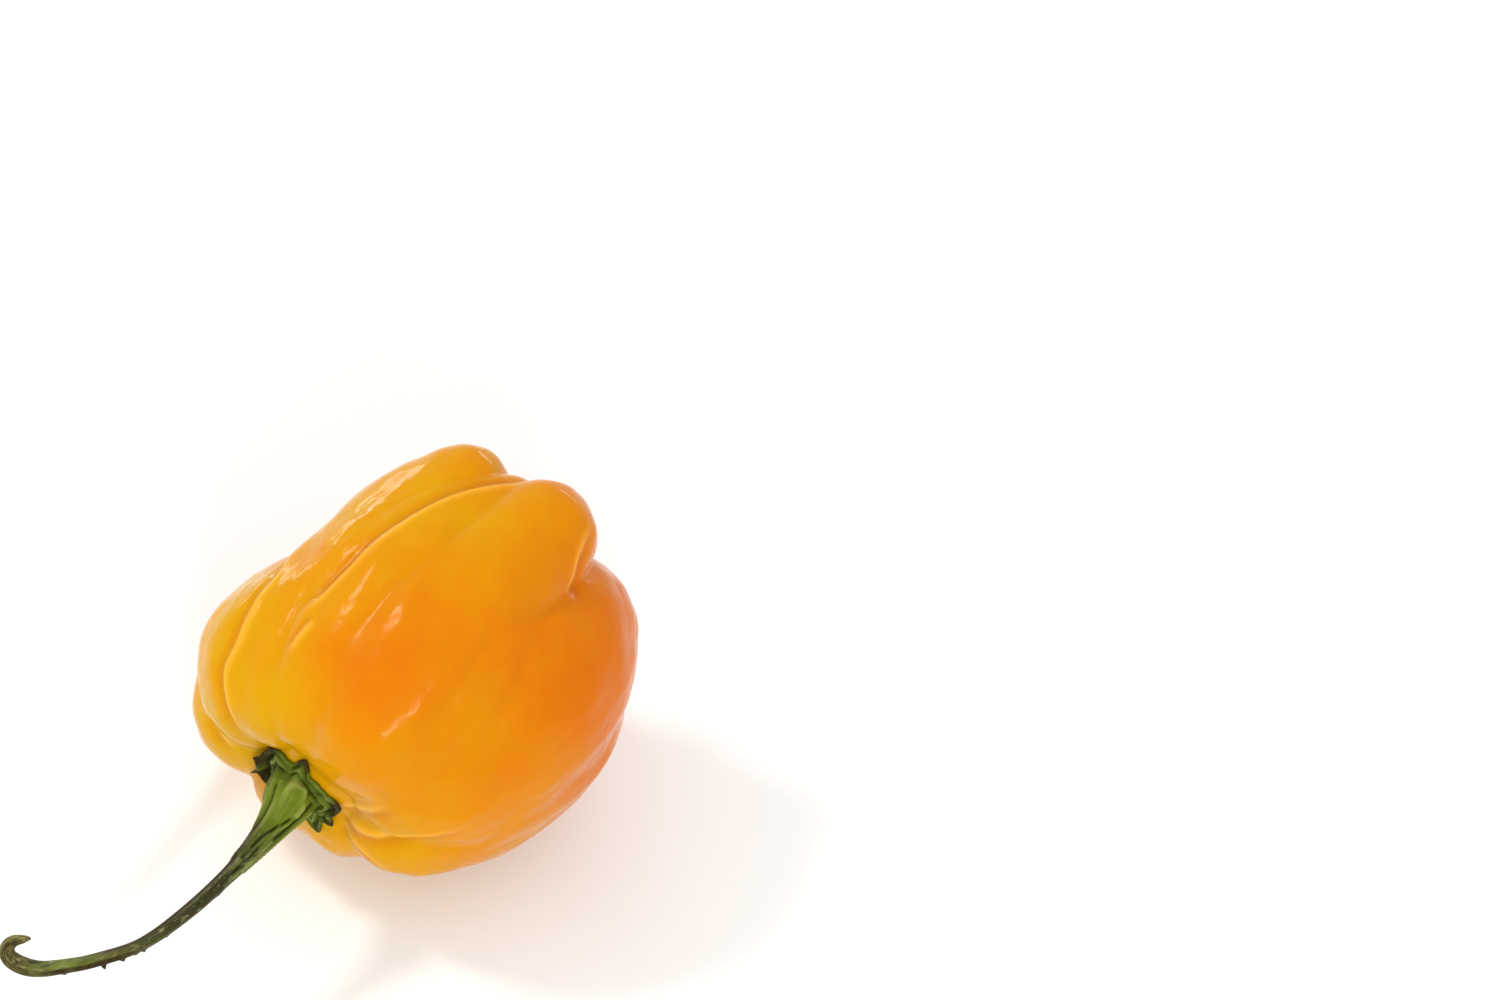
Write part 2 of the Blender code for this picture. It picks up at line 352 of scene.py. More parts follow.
def add(tree, kind, links=None, stops=None, **settings):
    """Add a node: its settings, the values or links of its inputs, and a ramp's stops."""
    made = tree.nodes.new(kind)
    for name, value in settings.items():
        setattr(made, name, value)
    for socket, value in (links or {}).items():
        if isinstance(value, bpy.types.NodeSocket):
            tree.links.new(value, made.inputs[socket])
        else:
            made.inputs[socket].default_value = value
    if stops:
        ramp = made.color_ramp.elements
        while len(ramp) < len(stops):
            ramp.new(1)
        for element, (position, value) in zip(ramp, stops):
            element.position = position
            element.color = linear(value) if isinstance(value, str) else (value, value, value, 1)
    return made


# Ripe habanero skin: a thin glossy cuticle over firm flesh. Light soaks into the flesh, so the colour
# stays warm in the shade, and the wax gives small broken highlights. In the folds the colour is painted
# darker as shade, and along their lips paler as a painted highlight.
CLOUDS = (0.11, 0.7)               # uneven ripeness: patches to the mm, and how far they change it
WAX_PATCHES = 0.5                  # more and less glossy patches, to the mm
WAX_ROUGHNESS = (0.14, 0.24)
PIMPLES = (1.2, 0.07)              # fine pimples: how many to the mm, and their height
FOLD_PAINTED_SHADE = 0.35                 # how much painted shade darkens the colour in a fold
LIP_PAINTED_HIGHLIGHT = 0.35                    # how much a painted highlight makes the colour paler along a lip
skin = bpy.data.materials.new("waxy_habanero_skin")
skin.use_nodes = True
tree = skin.node_tree
shader = tree.nodes["Principled BSDF"]
place = add(tree, "ShaderNodeTexCoord").outputs["Object"]
in_mm = add(tree, "ShaderNodeMapping", {"Vector": place, "Scale": (1 / MM,) * 3}).outputs["Vector"]
ripeness = add(tree, "ShaderNodeAttribute", attribute_name="ripeness").outputs["Fac"]
cloudy = add(
    tree, "ShaderNodeTexNoise",
    {"Vector": in_mm, "Scale": CLOUDS[0], "Detail": 3.0, "Roughness": 0.55},
)
shift = add(
    tree, "ShaderNodeMath",
    {0: cloudy.outputs["Fac"], 1: CLOUDS[1], 2: -CLOUDS[1] / 2}, operation="MULTIPLY_ADD",
)
tone = add(tree, "ShaderNodeMath", {0: ripeness, 1: shift.outputs[0]}, operation="ADD")
ripe_colour = add(
    tree, "ShaderNodeValToRGB", {"Fac": tone.outputs[0]},
    stops=((0.05, "#CB9B00"), (0.3, "#CE9000"), (0.55, "#D18100"), (0.95, "#D06C00")),
).outputs["Color"]
fold_shade_mask = add(tree, "ShaderNodeAttribute", attribute_name="valley").outputs["Fac"]
fold_shade_share = add(
    tree, "ShaderNodeMath", {0: fold_shade_mask, 1: FOLD_PAINTED_SHADE}, operation="MULTIPLY",
).outputs[0]
# painted shade: each fold's valley is mixed towards a deeper orange-brown
fold_shaded_colour = add(
    tree, "ShaderNodeMix",
    {"Factor": fold_shade_share, 6: ripe_colour, 7: linear("#B95800")}, data_type="RGBA",
).outputs[2]
lip_highlight_mask = add(tree, "ShaderNodeAttribute", attribute_name="crest").outputs["Fac"]
lip_highlight_share = add(
    tree, "ShaderNodeMath", {0: lip_highlight_mask, 1: LIP_PAINTED_HIGHLIGHT}, operation="MULTIPLY",
).outputs[0]
# painted highlight: a pale line along each fold's lip
lip_highlit_colour = add(
    tree, "ShaderNodeMix",
    {"Factor": lip_highlight_share, 6: fold_shaded_colour, 7: linear("#FFC24A")}, data_type="RGBA",
).outputs[2]
scar = add(tree, "ShaderNodeAttribute", attribute_name="scar").outputs["Fac"]
skin_colour = add(
    tree, "ShaderNodeMix", {"Factor": scar, 6: lip_highlit_colour, 7: linear("#74481A")}, data_type="RGBA",
).outputs[2]
tree.links.new(skin_colour, shader.inputs["Base Color"])
wax = add(tree, "ShaderNodeTexNoise", {"Vector": in_mm, "Scale": WAX_PATCHES, "Detail": 4.0})
wax_gloss = add(
    tree, "ShaderNodeMapRange",
    {
        "Value": wax.outputs["Fac"], "From Min": 0.3, "From Max": 0.7,
        "To Min": WAX_ROUGHNESS[0], "To Max": WAX_ROUGHNESS[1],
    },
)
tree.links.new(wax_gloss.outputs["Result"], shader.inputs["Roughness"])
pimples = add(
    tree, "ShaderNodeTexNoise",
    {"Vector": in_mm, "Scale": PIMPLES[0], "Detail": 2.0, "Roughness": 0.45},
)
skin_bump = add(
    tree, "ShaderNodeBump",
    {"Height": pimples.outputs["Fac"], "Strength": 0.5, "Distance": PIMPLES[1] * MM},
)
tree.links.new(skin_bump.outputs["Normal"], shader.inputs["Normal"])
shader.inputs["IOR"].default_value = 1.45
shader.inputs["Specular IOR Level"].default_value = 0.16
shader.inputs["Specular Tint"].default_value = linear("#FFC8B4")
shader.inputs["Subsurface Weight"].default_value = 0.25
shader.inputs["Subsurface Radius"].default_value = (1.0, 0.45, 0.05)
shader.inputs["Subsurface Scale"].default_value = 3 * MM
pod.data.materials.append(skin)


# The stalk: the calyx, a small tough green cap whose toothed edge has dried and curled, and the stem
# that flares onto it, in one grown piece. It sits on the pod's shoulder and pulls off as a whole.
CALYX_PLACE = (-17.6, 1.9, -1.2)   # along the axis, towards +Y, and up, from the pod's middle
CALYX_REACH = 4.0                  # from its middle to its edge, between the teeth
CALYX_TEETH = (                    # angle round it, how far the tooth stands out, its half width
    (45, 1.2, 28),
    (78, 1.2, 24),
    (110, 2.0, 18),
    (160, 1.2, 22),
    (217, 1.1, 14),
    (240, 1.3, 14),
    (277, 1.5, 28),
    (314, 0.3, 18),
    (347, 2.0, 15),
)
CALYX_FLAPS = (                    # where its edge curls up off the pod: angle, half width, height
    (88, 48, 1.7),
    (258, 34, 0.6),
    (170, 40, 0.5),
)
# Its outline from the middle of its underside, round the edge and up to the stem's foot: how far
# out, as a share of the way to the edge, how high off the pod's skin, and how much painted light or
# shade it has, from -1, painted shade in the creases, to 1, painted light on the ridges.
CALYX_OUTLINE = (
    (0.0, -0.15, 0),
    (0.4, -0.15, 0),
    (0.75, -0.15, 0),
    (0.97, -0.02, -0.6),
    (1.03, 0.15, -0.4),
    (1.02, 0.38, 0.2),
    (0.97, 0.48, 0.5),
    (0.91, 0.30, -0.5),
    (0.86, 0.22, -1.0),
    (0.81, 0.45, -0.2),
    (0.76, 0.74, 0.9),
    (0.71, 0.74, 0.7),
    (0.67, 0.50, -0.4),
    (0.63, 0.30, -1.0),
)
CALYX_STEPS = 5
WRINKLES = (0.16, 1.3)             # height of the cap's wrinkles, and their size across
WRINKLE_SHADE = 1.2                # how much lighter a wrinkle's top is painted, as a highlight
RIDGES = (0.62, 0.70, 0.96, 1.00)  # its ridges rise and run out between these shares of its reach
RIDGE_WANDER = (0.045, 2.6, 4)     # how far they stray, and how finely round it and outwards
GAP_MIDDLE = 318                   # beside the stem's foot the cap is open in a gap, on this side
GAP_HALF_WIDTH = 75
GAP_DEPTH = 0.45
EDGE_RAGGED = (0.06, 4.5)          # how uneven the edge is, as a share of its reach, and how finely
CURL_FROM = (0.78, 1.02)           # the flaps curl up between these shares of its reach
DRY_FROM = (0.72, 1.00)            # the teeth have dried between these
DRY_TOOTH = (0.3, 1.0)             # and where a tooth stands out by this much

# The stem's route: X, Y and Z from the pod's middle, and its radius. The first points are its foot.
STEM_ROUTE = (
    (-18.8, 1.1, -1.8, 2.75),
    (-19.8, 0.9, -1.9, 2.5),
    (-21.2, 0.7, -2.1, 2.0),
    (-24.1, 0.6, -2.7, 1.35),
    (-28.7, 0.9, -3.5, 0.82),
    (-34.8, 2.1, -5.0, 0.72),
    (-39.3, 4.2, -6.9, 0.65),
    (-42.6, 7.3, -8.4, 0.70),
    (-44.4, 9.6, -9.3, 0.74),
    (-45.8, 11.6, -9.9, 0.82),
    (-46.5, 13.3, -10.1, 0.9),
    (-46.8, 14.8, -9.7, 0.85),
    (-46.5, 15.4, -8.9, 0.74),
    (-45.9, 15.1, -8.1, 0.6),
    (-45.3, 14.2, -7.6, 0.4),
    (-44.9, 13.6, -7.4, 0.12),
)
STEM_STEPS = 24
STEM_RIBS = 5                      # faint ribs all along it
RIB_HEIGHT = 0.045                 # as a share of the stem's radius
RIBS_FROM = (4, 10)                # they rise past the foot, between these mm along
PLAIN_FROM = (8, 12)               # past the flare the painted light and shade on the ribs is weaker
FIBRE_SHORTER = 0.3                # the stem's marks are drawn out along it
GRAIN = (0.10, 4, 9)               # uneven fibres: height as a share of the radius, how finely
                                   # round the stem, and their length
STALK_SEGMENTS = 160
STALK_ANGLES = np.radians(90 - np.arange(STALK_SEGMENTS) * 360 / STALK_SEGMENTS)
# Ridges and grooves that run down from the foot: a route in mm along and degrees round, where 0 is
# the upper side and 270 is -Y, with the height, the half width, and how much painted light, or painted
# shade below 0, it has. The first is the arch that bounds the smooth panel on the flare, with its two
# legs, and the next is the panel.
STEM_LINES = (
    (((8.5, 44), (6.5, 28), (4.5, 14), (2.4, 7), (0.9, 0), (0.1, 347), (-0.1, 334), (0.1, 321),
      (1, 308), (2.2, 301)), 0.24, 0.34, 1.5),
    (((1.2, 336), (3.4, 338)), -0.20, 0.8, 0.5),
    (((2.4, 299), (3.6, 313), (5.0, 335), (6.4, 348), (8.5, 354)), -0.34, 0.20, -2.4),
    (((1.4, 296), (3.0, 299), (4.4, 320), (6.0, 339), (7.5, 347), (10, 352)), 0.18, 0.22, 1.4),
    (((0.6, 30), (3.5, 34), (6, 46)), -0.20, 0.24, -1.2),
    (((0.8, 52), (3, 52), (5, 58)), 0.16, 0.30, 0.8),
    (((0.4, 286), (1.8, 286), (3.2, 288), (5, 296)), -0.30, 0.22, -1.8),
    (((0.9, 268), (3.0, 270), (6.5, 280), (11, 300)), 0.18, 0.34, 1.2),
    (((7, 318), (10, 328), (15, 330)), -0.16, 0.22, -1.2),
    (((1, 240), (4, 240), (9, 248)), -0.18, 0.26, -1.2),
    (((1, 215), (4, 214), (9, 216)), 0.18, 0.35, 1.2),
    (((1, 180), (4, 178), (9, 180)), -0.18, 0.26, -1.2),
    (((1, 150), (4, 148), (9, 150)), 0.18, 0.35, 1.2),
    (((1, 118), (4, 116), (9, 112)), -0.18, 0.26, -1.2),
    (((1, 88), (4, 86), (9, 84)), 0.18, 0.35, 1.2),
)
LINE_STEPS = 10
STEM_SCARS = (                     # small torn scars: mm along the stem, height, half length
    (12.6, 0.45, 0.9),
    (19.2, 0.22, 0.3),
    (21.8, 0.32, 0.25),
    (22.6, 0.20, 0.2),
    (24.0, 0.35, 0.3),
    (26.0, 0.62, 0.3),
    (30.0, 0.15, 0.4),
)
SCAR_SIDE = (-0.3, -0.6, -0.7)     # the side of the stem that they stand on
SCAR_SPREAD = 0.35                 # how narrow a scar is round the stem: the lower, the narrower


def calyx_edge(degrees):
    """How far the calyx reaches from its middle at each angle, and how far a tooth stands out there."""
    tooth = np.zeros(len(degrees))
    for angle, height, half_width in CALYX_TEETH:
        away = np.abs((degrees - angle + 180) % 360 - 180) / half_width
        tooth += height * np.maximum(0, 1 - away)
    turns = np.radians(degrees)
    ragged = noise_at(np.stack([np.cos(turns), np.sin(turns), 0 * turns], 1) * EDGE_RAGGED[1])
    return (CALYX_REACH + tooth) * (1 + EDGE_RAGGED[0] * ragged), tooth


def calyx_curl(degrees):
    """How high the edge has curled off the pod at each angle."""
    curl = np.zeros(len(degrees))
    for angle, half_width, height in CALYX_FLAPS:
        away = np.abs((degrees - angle + 180) % 360 - 180) / half_width
        curl += height * (1 - ease(away, 0, 1))
    return curl


def calyx_rings():
    """Rings of the calyx from the middle of its underside to the stem's foot."""
    degrees = np.degrees(STALK_ANGLES) % 360
    edge, tooth = calyx_edge(degrees)
    curl = calyx_curl(degrees)
    from_gap = np.abs((degrees - GAP_MIDDLE + 180) % 360 - 180) / GAP_HALF_WIDTH
    gap = GAP_DEPTH * (1 - ease(from_gap, 0, 1))
    compass = np.stack([np.cos(STALK_ANGLES), np.sin(STALK_ANGLES)], 1)
    wander, round_it, outwards = RIDGE_WANDER
    rings, dry, shade = [], [], []
    for out, height, light in curve_through(CALYX_OUTLINE, CALYX_STEPS):
        stray = noise_at(np.column_stack([round_it * compass, np.full(len(compass), outwards * out)]))
        on_ridges = ease(out, *RIDGES[:2]) * (1 - ease(out, *RIDGES[2:])) * (height > 0)
        reach = (out + wander * stray * on_ridges) * edge
        side = CALYX_PLACE[1] + reach * compass[:, 1]
        up = CALYX_PLACE[2] + reach * compass[:, 0]
        aims = np.stack([np.full(len(side), CALYX_PLACE[0]), side, up], 1)
        aims /= np.linalg.norm(aims, axis=1, keepdims=True)
        lift = curl * ease(out, *CURL_FROM) ** 1.5
        wrinkle = noise_at(np.stack([side, up, np.full(len(side), 3 * height)], 1) / WRINKLES[1])
        upper = ease(height, 0.1, 0.3)
        at_gap = upper * (1 - ease(out, *RIDGES[:2]))
        distance = pod_skin(aims)[0] + height + lift + WRINKLES[0] * wrinkle * upper - gap * at_gap
        rings.append([POD_TO_WORLD @ Vector(point) for point in aims * distance[:, None]])
        dry.append(ease(out, *DRY_FROM) * ease(tooth + 0.6 * stray, *DRY_TOOTH))
        # painted light and shade: lighter on the wrinkles' tops, darker under the curled flaps
        shade_under_flap = curl * ease(out, 0.7, 0.8) * (1 - ease(out, 0.9, 1.0))
        shade.append(light + WRINKLE_SHADE * wrinkle - 0.5 * shade_under_flap)
    return np.array(rings), np.array(dry), np.array(shade)


def line_share(travelled, radii, route, half_width):
    """How much of one ridge or groove lies at each ring and angle of the stem, from 0 to 1."""
    turns = np.array(route, float)
    turns[:, 1] = np.unwrap(np.radians(turns[:, 1]))
    line = curve_through(turns, LINE_STEPS)
    nearest = np.full((len(travelled), len(STALK_ANGLES)), 1e9)
    for along, angle in line:
        across = (STALK_ANGLES[None, :] - angle + math.pi) % (2 * math.pi) - math.pi
        away = (across * radii[:, None]) ** 2 + (travelled[:, None] - along) ** 2
        nearest = np.minimum(nearest, away)
    return np.exp(-nearest / half_width ** 2)


def stem_rings():
    """Rings square to the stem, each turned as little as possible from the last."""
    route = curve_through(STEM_ROUTE, STEM_STEPS)
    middles = route[:, :3] + POD_MIDDLE
    forward = np.gradient(middles, axis=0)
    forward /= np.linalg.norm(forward, axis=1, keepdims=True)
    travelled = np.concatenate([[0], np.linalg.norm(np.diff(middles, axis=0), axis=1).cumsum()])
    side = np.array([0.0, 1.0, 0.0])
    outward = []
    for ahead in forward:
        side = side - ahead * (side @ ahead)
        side /= np.linalg.norm(side)
        up = np.cross(side, ahead)
        outward.append(np.outer(np.sin(STALK_ANGLES), side) + np.outer(np.cos(STALK_ANGLES), up))
    outward = np.array(outward)
    compass = np.stack([np.cos(STALK_ANGLES), np.sin(STALK_ANGLES)], 1)
    rib = np.cos(STEM_RIBS * STALK_ANGLES)[None, :] * ease(travelled, *RIBS_FROM)[:, None]
    grain_height, grain_round, grain_length = GRAIN
    grain_at = np.empty((*rib.shape, 3))
    grain_at[..., :2] = grain_round * compass
    grain_at[..., 2] = travelled[:, None] / grain_length
    grain = noise_at(grain_at.reshape(-1, 3)).reshape(rib.shape)
    radius = route[:, 3:] * (1 + RIB_HEIGHT * rib + grain_height * grain)
    # painted light on the ribs and fibres where they stand out, painted shade between them
    painted_light_and_shade = (0.5 * rib + 2 * grain) * (1 - 0.5 * ease(travelled, *PLAIN_FROM))[:, None]
    for line, height, half_width, light in STEM_LINES:
        share = line_share(travelled, route[:, 3], line, half_width)
        radius = radius + height * share
        painted_light_and_shade = painted_light_and_shade + light * share
    facing = outward @ (np.array(SCAR_SIDE) / np.linalg.norm(SCAR_SIDE))
    beside_scar = np.arccos(np.clip(facing, -1, 1)) / SCAR_SPREAD
    for along, height, half_length in STEM_SCARS:
        near = np.maximum(0, 1 - np.abs(travelled - along) / half_length)[:, None]
        radius = radius + height * near * np.exp(-beside_scar ** 2)
    rings = middles[:, None, :] + outward * radius[:, :, None]
    rings[-1] = rings[-1].mean(0)
    around = route[:, 3:, None] * compass
    down = np.broadcast_to((FIBRE_SHORTER * travelled)[:, None, None], (*rib.shape, 1))
    return rings, outward, travelled, painted_light_and_shade, np.concatenate([around, down], 2)


cap_rings, cap_dry, cap_shade = calyx_rings()
foot_rings, stem_outward, stem_travelled, stem_light_and_shade, stem_fibres = stem_rings()
stalk_rings = np.vstack([cap_rings, foot_rings])
last_ring = len(stalk_rings) - 1

stalk_bm = bmesh.new()
bmesh.ops.create_cone(
    stalk_bm, cap_ends=True, cap_tris=True, segments=STALK_SEGMENTS, radius1=1, radius2=1, depth=2,
)
on_wall = [edge for edge in stalk_bm.edges if abs(edge.verts[0].co.z - edge.verts[1].co.z) > 1]
bmesh.ops.subdivide_edges(stalk_bm, edges=on_wall, cuts=last_ring - 1, use_grid_fill=True)
on_tube = np.array([vert.co for vert in stalk_bm.verts])
ring_index = np.rint((1 - on_tube[:, 2]) / 2 * last_ring).astype(int)
turn = np.arctan2(on_tube[:, 1], on_tube[:, 0])
turn_index = np.rint(turn / (2 * math.pi) * STALK_SEGMENTS).astype(int) % STALK_SEGMENTS
for vert, point in zip(stalk_bm.verts, stalk_rings[ring_index, turn_index]):
    vert.co = point
stalk = add_piece(stalk_bm, "stalk_cap_and_stem")
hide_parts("stalk")

# Where the plant has dried: the teeth's tips and the stem's upper side past the flare. Its lower edge
# near the hook is painted the same dark brown, as shade. Each side has a direction, and a share of
# facing it over which the colour comes in.
UPPER_SIDE = np.array((0.0, 0.9, 0.44))
UPPER_DRY = (0.35, 0.9)
UPPER_START = (2, 6)               # mm along the stem
UPPER_END = (24, 30)
LOWER_SIDE = np.array((-0.6, -0.5, -0.62))
LOWER_SHADE = (0.0, 0.45)
LOWER_START = (19, 25)
HOOK_START = (30, 34)
HOOK_LESS_SHADE = 0.7                 # how much less painted shade the lower edge has on the hook
dried_above = ease(stem_outward @ UPPER_SIDE, *UPPER_DRY) * ease(stem_travelled, *UPPER_START)[:, None]
dried_above *= (1 - ease(stem_travelled, *UPPER_END))[:, None]
# painted shade: the stem's lower edge, which faces down, is darkened like dried skin
shaded_below = ease(stem_outward @ LOWER_SIDE, *LOWER_SHADE) * ease(stem_travelled, *LOWER_START)[:, None]
shaded_below *= (1 - HOOK_LESS_SHADE * ease(stem_travelled, *HOOK_START))[:, None]
stalk_dry_and_shade = np.vstack([cap_dry, np.maximum(dried_above, shaded_below)])
stalk_along = np.concatenate([np.zeros(len(cap_rings)), stem_travelled / stem_travelled[-1]])
stalk_light_and_shade = np.vstack([cap_shade, stem_light_and_shade])
keep_values(stalk, "dry", stalk_dry_and_shade[ring_index, turn_index])
keep_values(stalk, "along", stalk_along[ring_index])
keep_values(stalk, "painted_light_and_shade", stalk_light_and_shade[ring_index, turn_index])
stalk_fibres = np.vstack([cap_rings, stem_fibres])[ring_index, turn_index]
fibre_attribute = stalk.data.attributes.new("fibre_place", "FLOAT_VECTOR", "POINT")
fibre_attribute.data.foreach_set("vector", stalk_fibres.astype(np.float32).ravel())

# Fresh to dried pepper stalk: tough green plant tissue, satin and lightly ribbed along its fibres. It
# fades from green at the flare to grey-olive, and its cut and dried parts are brown. Its ridges and the
# tops of its fibres are painted lighter as highlights, its grooves and creases darker as painted shade,
# and its lower edge near the hook dark brown as painted shade. Its marks are so many to the mm round
# the stem, and drawn out along it.
BROWN_STREAKS = 1.5
PALE_FLECKS = 3.2
FIBRES = (2.6, 0.25)               # how many to the mm, and their height in mm
tissue = bpy.data.materials.new("green_pepper_stalk")
tissue.use_nodes = True
tree = tissue.node_tree
shader = tree.nodes["Principled BSDF"]
place = add(tree, "ShaderNodeTexCoord").outputs["Object"]
in_mm = add(tree, "ShaderNodeMapping", {"Vector": place, "Scale": (1 / MM,) * 3}).outputs["Vector"]
fibre_place = add(tree, "ShaderNodeAttribute", attribute_name="fibre_place").outputs["Vector"]
along = add(tree, "ShaderNodeAttribute", attribute_name="along").outputs["Fac"]
along_colour = add(
    tree, "ShaderNodeValToRGB", {"Fac": along},
    stops=(
        (0.0, "#58681A"), (0.03, "#5E7010"), (0.09, "#576A16"), (0.18, "#4A5022"), (0.28, "#373622"),
        (0.46, "#2C2B1A"), (0.54, "#3C3E20"), (0.64, "#56562A"), (0.74, "#66702E"), (0.80, "#5E6430"),
        (0.88, "#524C22"), (1.0, "#6E6636"),
    ),
).outputs["Color"]
painted_light_and_shade = add(tree, "ShaderNodeAttribute", attribute_name="painted_light_and_shade").outputs["Fac"]
# painted highlight: ridges are mixed towards a light green
ridge_highlight_share = add(
    tree, "ShaderNodeMapRange",
    {"Value": painted_light_and_shade, "From Min": 0.2, "From Max": 1.6, "To Min": 0.0, "To Max": 0.6},
).outputs["Result"]
ridge_highlit_colour = add(
    tree, "ShaderNodeMix",
    {"Factor": ridge_highlight_share, 6: along_colour, 7: linear("#8E9A4C")}, data_type="RGBA",
).outputs[2]
# painted shade: grooves and creases are mixed towards near black
groove_shade_share = add(
    tree, "ShaderNodeMapRange",
    {"Value": painted_light_and_shade, "From Min": -0.3, "From Max": -1.4, "To Min": 0.0, "To Max": 0.9},
).outputs["Result"]
groove_shaded_colour = add(
    tree, "ShaderNodeMix",
    {"Factor": groove_shade_share, 6: ridge_highlit_colour, 7: linear("#161C06")}, data_type="RGBA",
).outputs[2]
streaks = add(
    tree, "ShaderNodeTexNoise",
    {"Vector": fibre_place, "Scale": BROWN_STREAKS, "Detail": 4.0, "Roughness": 0.65},
)
brown_amount = add(
    tree, "ShaderNodeValToRGB", {"Fac": along},
    stops=((0.02, 0.04), (0.14, 0.25), (0.24, 0.9), (0.5, 0.8), (0.72, 0.5), (0.82, 1.0)),
).outputs["Color"]
brown_patch = add(
    tree, "ShaderNodeMapRange",
    {"Value": streaks.outputs["Fac"], "From Min": 0.48, "From Max": 0.62, "To Min": 0.0, "To Max": 0.85},
).outputs["Result"]
brown_share = add(
    tree, "ShaderNodeMath", {0: brown_amount, 1: brown_patch}, operation="MULTIPLY",
).outputs[0]
brown_colour = add(
    tree, "ShaderNodeMix",
    {"Factor": brown_share, 6: groove_shaded_colour, 7: linear("#2C2413")}, data_type="RGBA",
).outputs[2]
flecks = add(
    tree, "ShaderNodeTexNoise",
    {"Vector": fibre_place, "Scale": PALE_FLECKS, "Detail": 3.0, "Roughness": 0.6},
)
fleck_share = add(
    tree, "ShaderNodeMapRange",
    {"Value": flecks.outputs["Fac"], "From Min": 0.55, "From Max": 0.72, "To Min": 0.0, "To Max": 0.75},
).outputs["Result"]
fleck_amount = add(
    tree, "ShaderNodeMath", {0: fleck_share, 1: brown_amount}, operation="MULTIPLY",
).outputs[0]
fleck_colour = add(
    tree, "ShaderNodeMix",
    {"Factor": fleck_amount, 6: brown_colour, 7: linear("#97936A")}, data_type="RGBA",
).outputs[2]
dry = add(tree, "ShaderNodeAttribute", attribute_name="dry").outputs["Fac"]
dry_patches = add(tree, "ShaderNodeTexNoise", {"Vector": in_mm, "Scale": 0.9, "Detail": 3.0})
dry_and_shade_patchy = add(
    tree, "ShaderNodeMath", {0: dry, 1: dry_patches.outputs["Fac"], 2: 0.45}, operation="MULTIPLY_ADD",
)
dry_and_shade_share = add(
    tree, "ShaderNodeMath", {0: dry_and_shade_patchy.outputs[0], 1: dry}, operation="MULTIPLY", use_clamp=True,
)
# dark brown where the plant has dried, and as painted shade on the stem's lower edge near the hook
stalk_colour = add(
    tree, "ShaderNodeMix",
    {"Factor": dry_and_shade_share.outputs[0], 6: fleck_colour, 7: linear("#291C0C")}, data_type="RGBA",
).outputs[2]
tree.links.new(stalk_colour, shader.inputs["Base Color"])
fibres = add(
    tree, "ShaderNodeTexNoise",
    {"Vector": fibre_place, "Scale": FIBRES[0], "Detail": 5.0, "Roughness": 0.6},
)
tissue_bump = add(
    tree, "ShaderNodeBump",
    {"Height": fibres.outputs["Fac"], "Strength": 0.5, "Distance": FIBRES[1] * MM},
)
tree.links.new(tissue_bump.outputs["Normal"], shader.inputs["Normal"])
shader.inputs["Roughness"].default_value = 0.45
shader.inputs["IOR"].default_value = 1.45
shader.inputs["Specular IOR Level"].default_value = 0.25
shader.inputs["Specular Tint"].default_value = linear("#E6DC96")
shader.inputs["Subsurface Weight"].default_value = 0.1
shader.inputs["Subsurface Scale"].default_value = 0.5 * MM
stalk.data.materials.append(tissue)


# The floor: one wide sheet of matt white card that the pepper lies on.
FLOOR_SIZE = 4000
FLOOR_DROP = 0.03                  # below the pod's flat spot, so that the two don't flicker
floor_bm = bmesh.new()
bmesh.ops.create_grid(floor_bm, x_segments=1, y_segments=1, size=FLOOR_SIZE / 2 * MM)
bmesh.ops.translate(floor_bm, vec=(0, 0, -FLOOR_DROP * MM), verts=floor_bm.verts)
floor_mesh = bpy.data.meshes.new("floor")
floor_bm.to_mesh(floor_mesh)
floor_bm.free()
floor = bpy.data.objects.new("floor", floor_mesh)
bpy.context.scene.collection.objects.link(floor)
card = bpy.data.materials.new("matt_white_card")
card.use_nodes = True
card.node_tree.nodes["Principled BSDF"].inputs["Base Color"].default_value = linear("#F4F4F2")
card.node_tree.nodes["Principled BSDF"].inputs["Roughness"].default_value = 0.9
floor_mesh.materials.append(card)


# The light: a white tent that fills every shadow, and soft boxes. A long narrow one hangs aslant below
# the camera and one stands high behind the pod, for the small broken highlights on its lobes. Two
# long low ones stand behind it, for the pale line along its edges.
TENT_STRENGTH = 0.84
world = bpy.data.worlds.new("white_tent")
world.use_nodes = True
world.node_tree.nodes["Background"].inputs["Color"].default_value = linear("#FFFFFF")
world.node_tree.nodes["Background"].inputs["Strength"].default_value = TENT_STRENGTH
bpy.context.scene.world = world
bpy.context.scene.view_settings.view_transform = "Standard"
BOX_AWAY = 900


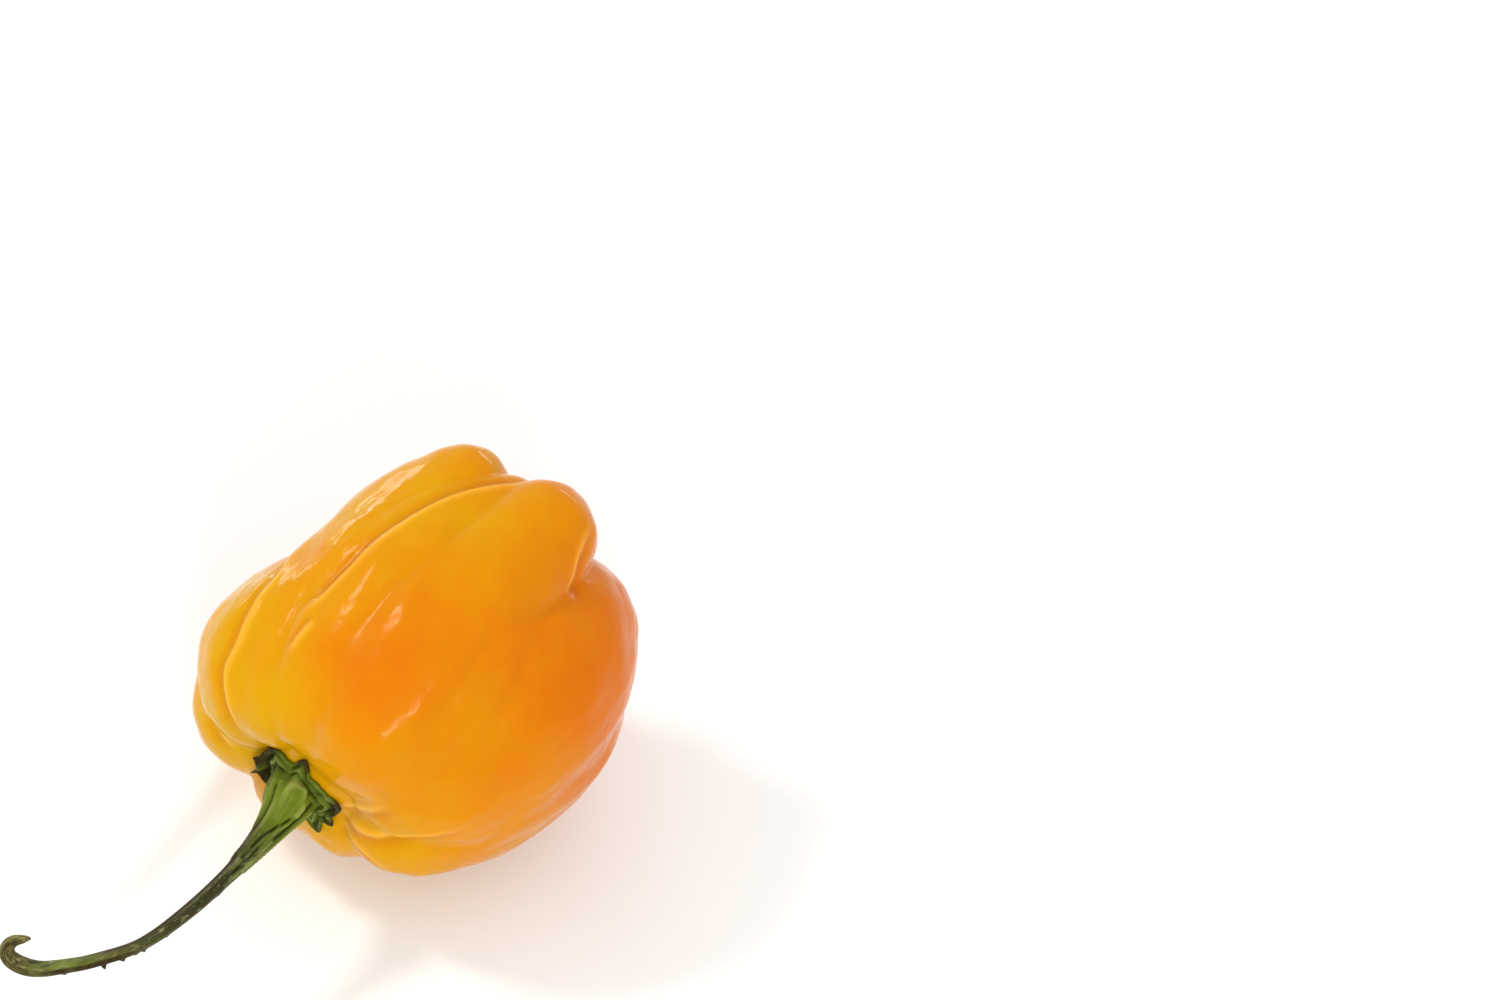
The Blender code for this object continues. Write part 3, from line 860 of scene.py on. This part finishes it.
def add_soft_box(name, turn, height, width, depth, power, roll=0):
    """A flat lamp that faces the pod, placed by its angles round it and over the floor, in degrees."""
    turn, height = math.radians(turn), math.radians(height)
    level = math.cos(height)
    direction = Vector((math.sin(turn) * level, -math.cos(turn) * level, math.sin(height)))
    lamp = bpy.data.lights.new(name, "AREA")
    lamp.shape = "RECTANGLE"
    lamp.size = width * MM
    lamp.size_y = depth * MM
    lamp.energy = power
    box = bpy.data.objects.new(name, lamp)
    box.location = (Vector(POD_MIDDLE) + direction * BOX_AWAY) * MM
    facing = direction.to_track_quat("Z", "Y") @ Quaternion((0, 0, 1), math.radians(roll))
    box.rotation_euler = facing.to_euler()
    bpy.context.scene.collection.objects.link(box)


add_soft_box("front_box", -50, 34, 320, 60, 3.3, roll=47)
add_soft_box("back_box", -168, 52, 130, 130, 2.6)
add_soft_box("low_back_box", 157, 7, 360, 40, 1.2)
add_soft_box("low_side_box", 95, 7, 360, 40, 0.6)


# The camera: a long lens that looks down on the pod from the calyx side, so that the stem points to
# the lower left. The pod lies left of the middle of the picture and below it.
CAMERA_TURN = math.radians(-53)
CAMERA_HEIGHT = math.radians(52)
PICTURE_WIDTH = 150                # mm across the picture, at the pod
POD_IN_PICTURE = (-33.6, -17.2)    # mm right and up of the picture's middle
LENS = 300
SENSOR = 36
camera_data = bpy.data.cameras.new("camera")
camera_data.lens = LENS
camera_data.sensor_width = SENSOR
camera_away = LENS / SENSOR * PICTURE_WIDTH
camera_data.clip_end = 10
camera = bpy.data.objects.new("camera", camera_data)
level = math.cos(CAMERA_HEIGHT)
towards = Vector((math.sin(CAMERA_TURN) * level, -math.cos(CAMERA_TURN) * level, math.sin(CAMERA_HEIGHT)))
right = Vector((math.cos(CAMERA_TURN), math.sin(CAMERA_TURN), 0))
above = towards.cross(right)
camera_place = Vector(POD_MIDDLE) + towards * camera_away
aim = Vector(POD_MIDDLE) - right * POD_IN_PICTURE[0] - above * POD_IN_PICTURE[1]
back = (camera_place - aim).normalized()
across = above.cross(back).normalized()
turned = Matrix((across, back.cross(across), back)).transposed()
camera.matrix_world = Matrix.Translation(camera_place * MM) @ turned.to_4x4()
bpy.context.scene.collection.objects.link(camera)
bpy.context.scene.camera = camera
